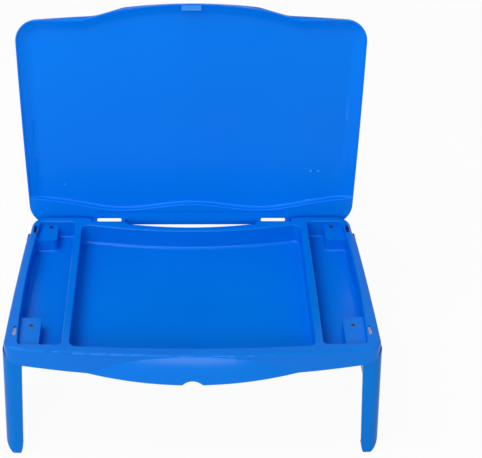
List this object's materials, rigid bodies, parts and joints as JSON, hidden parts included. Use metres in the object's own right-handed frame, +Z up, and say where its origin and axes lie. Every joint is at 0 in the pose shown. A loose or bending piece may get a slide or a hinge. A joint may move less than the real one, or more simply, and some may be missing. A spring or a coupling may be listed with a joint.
{
  "type": "lap desk",
  "caption": "Lap desk with a shallow hinged lid, a main tray between pen trays and full-depth legs that fold in underneath.",
  "frame": {"origin": "centre of the object's box, at floor level under the feet, with the lid open and the legs unfolded", "axes": "+X to the user's right, +Y away from the user towards the lid, +Z up"},
  "size_m": [0.4614, 0.3773, 0.4508],
  "materials": {
    "tray_plastic": "glossy",
    "lid_plastic": "glossy",
    "leg_plastic": "glossy",
    "catch_plastic": "glossy",
    "block_plastic": "satin",
    "pin_steel": "satin",
    "screw_steel": "satin"
  },
  "bodies": {
    "tray": {"tray_body": "tray_plastic", "left_lid_pin": "pin_steel", "right_lid_pin": "pin_steel", "left_front_block": "block_plastic", "left_rear_block": "block_plastic", "right_front_block": "block_plastic", "right_rear_block": "block_plastic", "left_front_leg_pin": "pin_steel", "left_rear_leg_pin": "pin_steel", "right_front_leg_pin": "pin_steel", "right_rear_leg_pin": "pin_steel", "left_front_screw": "screw_steel", "left_rear_screw": "screw_steel", "right_front_screw": "screw_steel", "right_rear_screw": "screw_steel"},
    "lid": {"lid": "lid_plastic", "lid_catch": "catch_plastic"},
    "left_leg": {"left_leg": "leg_plastic"},
    "right_leg": {"right_leg": "leg_plastic"}
  },
  "joints": [
    {"name": "lid_hinge", "type": "hinge", "parent": "tray", "child": "lid", "pos_m": [0, 0.1078, 0.1625], "axis": [1, 0, 0], "range_deg": [0, 101.7]},
    {"name": "right_leg_hinge", "type": "hinge", "parent": "tray", "child": "right_leg", "pos_m": [0.196, -0.158, 0.1485], "axis": [-0.0434, 0.9991, 0], "range_deg": [0, 92.5]},
    {"name": "left_leg_hinge", "type": "hinge", "parent": "tray", "child": "left_leg", "pos_m": [-0.196, -0.158, 0.1485], "axis": [-0.0434, -0.9991, 0], "range_deg": [0, 92.5]}
  ]
}
